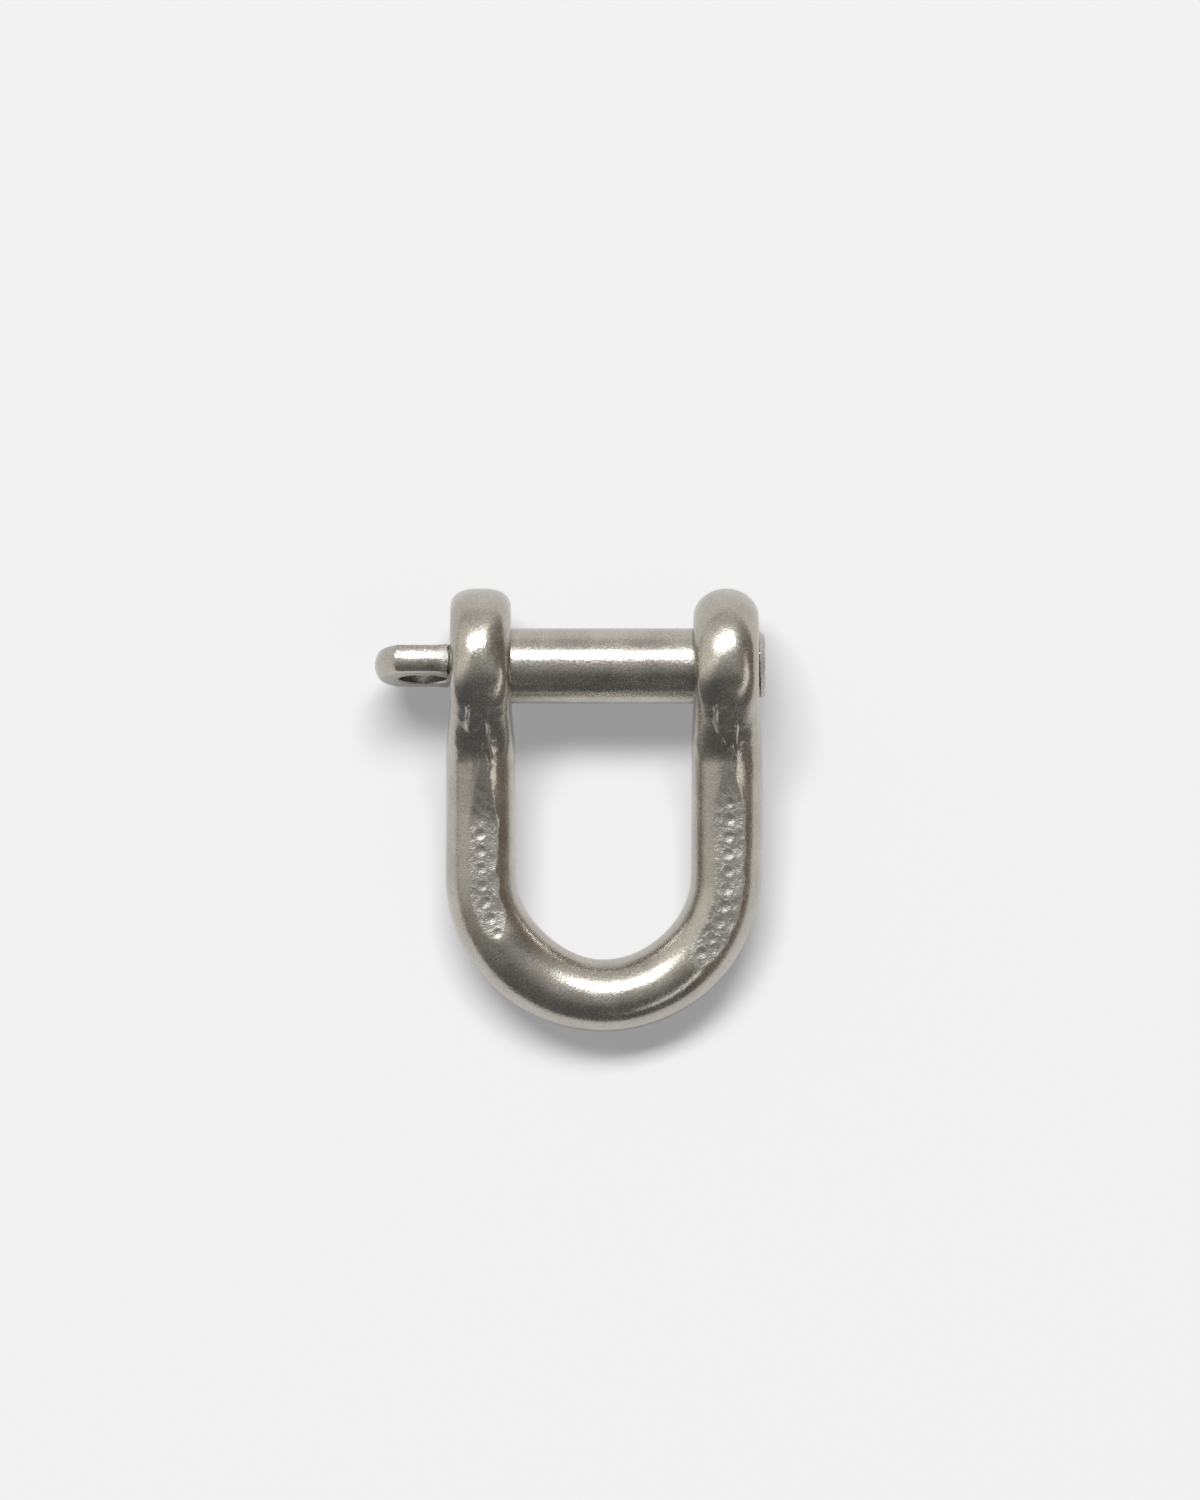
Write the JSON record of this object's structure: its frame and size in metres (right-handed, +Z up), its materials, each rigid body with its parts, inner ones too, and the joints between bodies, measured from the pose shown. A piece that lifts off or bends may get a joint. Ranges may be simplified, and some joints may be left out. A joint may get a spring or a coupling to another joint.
{
  "type": "chain joining shackle",
  "caption": "Small forged stainless D shackle with a screw pin whose flattened lug has a hole, lying on its side.",
  "frame": {"origin": "on the pin's axis, in the middle plane of the bow", "axes": "+X along the pin from its lug to its threaded end, +Y from the crown to the pin, +Z up from the floor that it lies on"},
  "size_m": [0.0259, 0.0295, 0.0097],
  "materials": {
    "bow": "polished forging with struck flats",
    "pin": "polished round bar"
  },
  "bodies": {
    "bow": {"bow": "bow"},
    "pin": {"pin": "pin"}
  },
  "joints": [
    {"name": "pin_withdraw", "type": "slide", "parent": "bow", "child": "pin", "axis": [-1, 0, 0], "range_m": [0, 0.022]}
  ]
}
